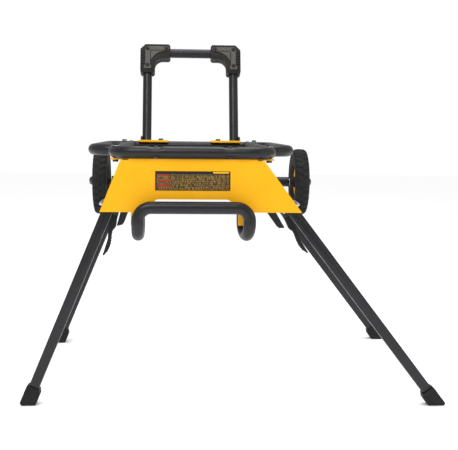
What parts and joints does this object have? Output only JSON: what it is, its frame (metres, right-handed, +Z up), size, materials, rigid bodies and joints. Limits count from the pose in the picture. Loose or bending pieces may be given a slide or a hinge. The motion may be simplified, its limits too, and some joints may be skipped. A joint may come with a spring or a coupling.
{
  "type": "folding tool stand",
  "caption": "Rolling folding tool stand: tube frame, sheet aprons, splayed folding legs with release levers, pull grip, wheels on an axle and an upright loop.",
  "frame": {"origin": "centre of the plan outline, on the floor under the feet", "axes": "+X across the stand, +Y from the grip end to the wheel end, +Z up"},
  "size_m": [1.0588, 0.9922, 0.9398],
  "materials": {
    "black_steel": "satin black powder coat",
    "yellow_steel": "satin yellow powder coat",
    "black_plastic": "fine textured moulding",
    "tyre_rubber": "moulded tread",
    "yellow_plastic": "satin moulding",
    "zinc_steel": "bright zinc plating",
    "dark_zinc": "dark plating",
    "plate_print": "printed panel without lettering"
  },
  "bodies": {
    "frame": {"front_frame_tube": "black_steel", "rear_frame_tube": "black_steel", "near_outer_leg_plate": "black_steel", "near_inner_leg_plate": "black_steel", "far_inner_leg_plate": "black_steel", "grip_tube": "black_steel", "left_axle_bracket": "black_steel", "right_axle_bracket": "black_steel", "axle_tube": "black_steel", "left_loop_tube": "black_steel", "right_loop_tube": "black_steel", "loop_top_tube": "black_steel", "near_apron": "yellow_steel", "far_apron": "yellow_steel", "left_saddle_plate": "yellow_steel", "right_saddle_plate": "yellow_steel", "near_left_stop_pin": "zinc_steel", "near_left_apron_bolt": "dark_zinc", "near_left_pivot_bolt": "zinc_steel", "near_right_stop_pin": "zinc_steel", "near_right_apron_bolt": "dark_zinc", "near_right_pivot_bolt": "zinc_steel", "far_left_stop_pin": "zinc_steel", "far_left_apron_bolt": "dark_zinc", "far_left_pivot_bolt": "zinc_steel", "far_right_stop_pin": "zinc_steel", "far_right_apron_bolt": "dark_zinc", "far_right_pivot_bolt": "zinc_steel", "left_grip_bolt": "zinc_steel", "left_loop_bolt": "zinc_steel", "left_axle_cap": "dark_zinc", "left_elbow_front": "black_plastic", "left_elbow_rear": "black_plastic", "right_grip_bolt": "zinc_steel", "right_loop_bolt": "zinc_steel", "right_axle_cap": "dark_zinc", "right_elbow_front": "black_plastic", "right_elbow_rear": "black_plastic", "axle_rod": "zinc_steel", "rating_plate": "plate_print"},
    "near_left_leg_body": {"near_left_leg": "black_steel", "near_left_foot": "black_plastic", "near_left_lever_pin": "zinc_steel"},
    "near_left_lever_body": {"near_left_lever": "black_plastic"},
    "near_right_leg_body": {"near_right_leg": "black_steel", "near_right_foot": "black_plastic", "near_right_lever_pin": "zinc_steel"},
    "near_right_lever_body": {"near_right_lever": "black_plastic"},
    "far_left_leg_body": {"far_left_leg": "black_steel", "far_left_foot": "black_plastic", "far_left_lever_pin": "zinc_steel"},
    "far_left_lever_body": {"far_left_lever": "black_plastic"},
    "far_right_leg_body": {"far_right_leg": "black_steel", "far_right_foot": "black_plastic", "far_right_lever_pin": "zinc_steel"},
    "far_right_lever_body": {"far_right_lever": "black_plastic"},
    "left_wheel": {"left_tyre": "tyre_rubber", "left_wheel_hub": "yellow_plastic"},
    "right_wheel": {"right_tyre": "tyre_rubber", "right_wheel_hub": "yellow_plastic"}
  },
  "joints": [
    {"name": "near_left_leg_fold", "type": "hinge", "parent": "frame", "child": "near_left_leg_body", "pos_m": [-0.26166, -0.35985, 0.583], "axis": [0, -1, 0], "range_deg": [0, 97]},
    {"name": "near_left_lever_press", "type": "hinge", "parent": "near_left_leg_body", "child": "near_left_lever_body", "pos_m": [-0.28416, -0.35985, 0.4754], "axis": [0, 1, 0], "range_deg": [0, 4], "stiffness_Nm_per_rad": 0.6, "springref_deg": -2.86},
    {"name": "near_right_leg_fold", "type": "hinge", "parent": "frame", "child": "near_right_leg_body", "pos_m": [0.05374, -0.38735, 0.583], "axis": [0, 1, 0], "range_deg": [0, 110]},
    {"name": "near_right_lever_press", "type": "hinge", "parent": "near_right_leg_body", "child": "near_right_lever_body", "pos_m": [0.11199, -0.38735, 0.47386], "axis": [0, -1, 0], "range_deg": [0, 4], "stiffness_Nm_per_rad": 0.6, "springref_deg": -2.86},
    {"name": "far_left_leg_fold", "type": "hinge", "parent": "frame", "child": "far_left_leg_body", "pos_m": [-0.27146, 0.23815, 0.583], "axis": [0, -1, 0], "range_deg": [0, 97]},
    {"name": "far_left_lever_press", "type": "hinge", "parent": "far_left_leg_body", "child": "far_left_lever_body", "pos_m": [-0.29396, 0.23815, 0.4754], "axis": [0, 1, 0], "range_deg": [0, 4], "stiffness_Nm_per_rad": 0.6, "springref_deg": -2.86},
    {"name": "far_right_leg_fold", "type": "hinge", "parent": "frame", "child": "far_right_leg_body", "pos_m": [0.06274, 0.26615, 0.583], "axis": [0, 1, 0], "range_deg": [0, 110]},
    {"name": "far_right_lever_press", "type": "hinge", "parent": "far_right_leg_body", "child": "far_right_lever_body", "pos_m": [0.13564, 0.26615, 0.45486], "axis": [0, -1, 0], "range_deg": [0, 4], "stiffness_Nm_per_rad": 0.6, "springref_deg": -2.86},
    {"name": "left_wheel_spin", "type": "hinge", "parent": "frame", "child": "left_wheel", "pos_m": [-0.38826, 0.38815, 0.4985], "axis": [1, 0, 0], "continuous": true},
    {"name": "right_wheel_spin", "type": "hinge", "parent": "frame", "child": "right_wheel", "pos_m": [0.25824, 0.38815, 0.4985], "axis": [1, 0, 0], "continuous": true}
  ]
}
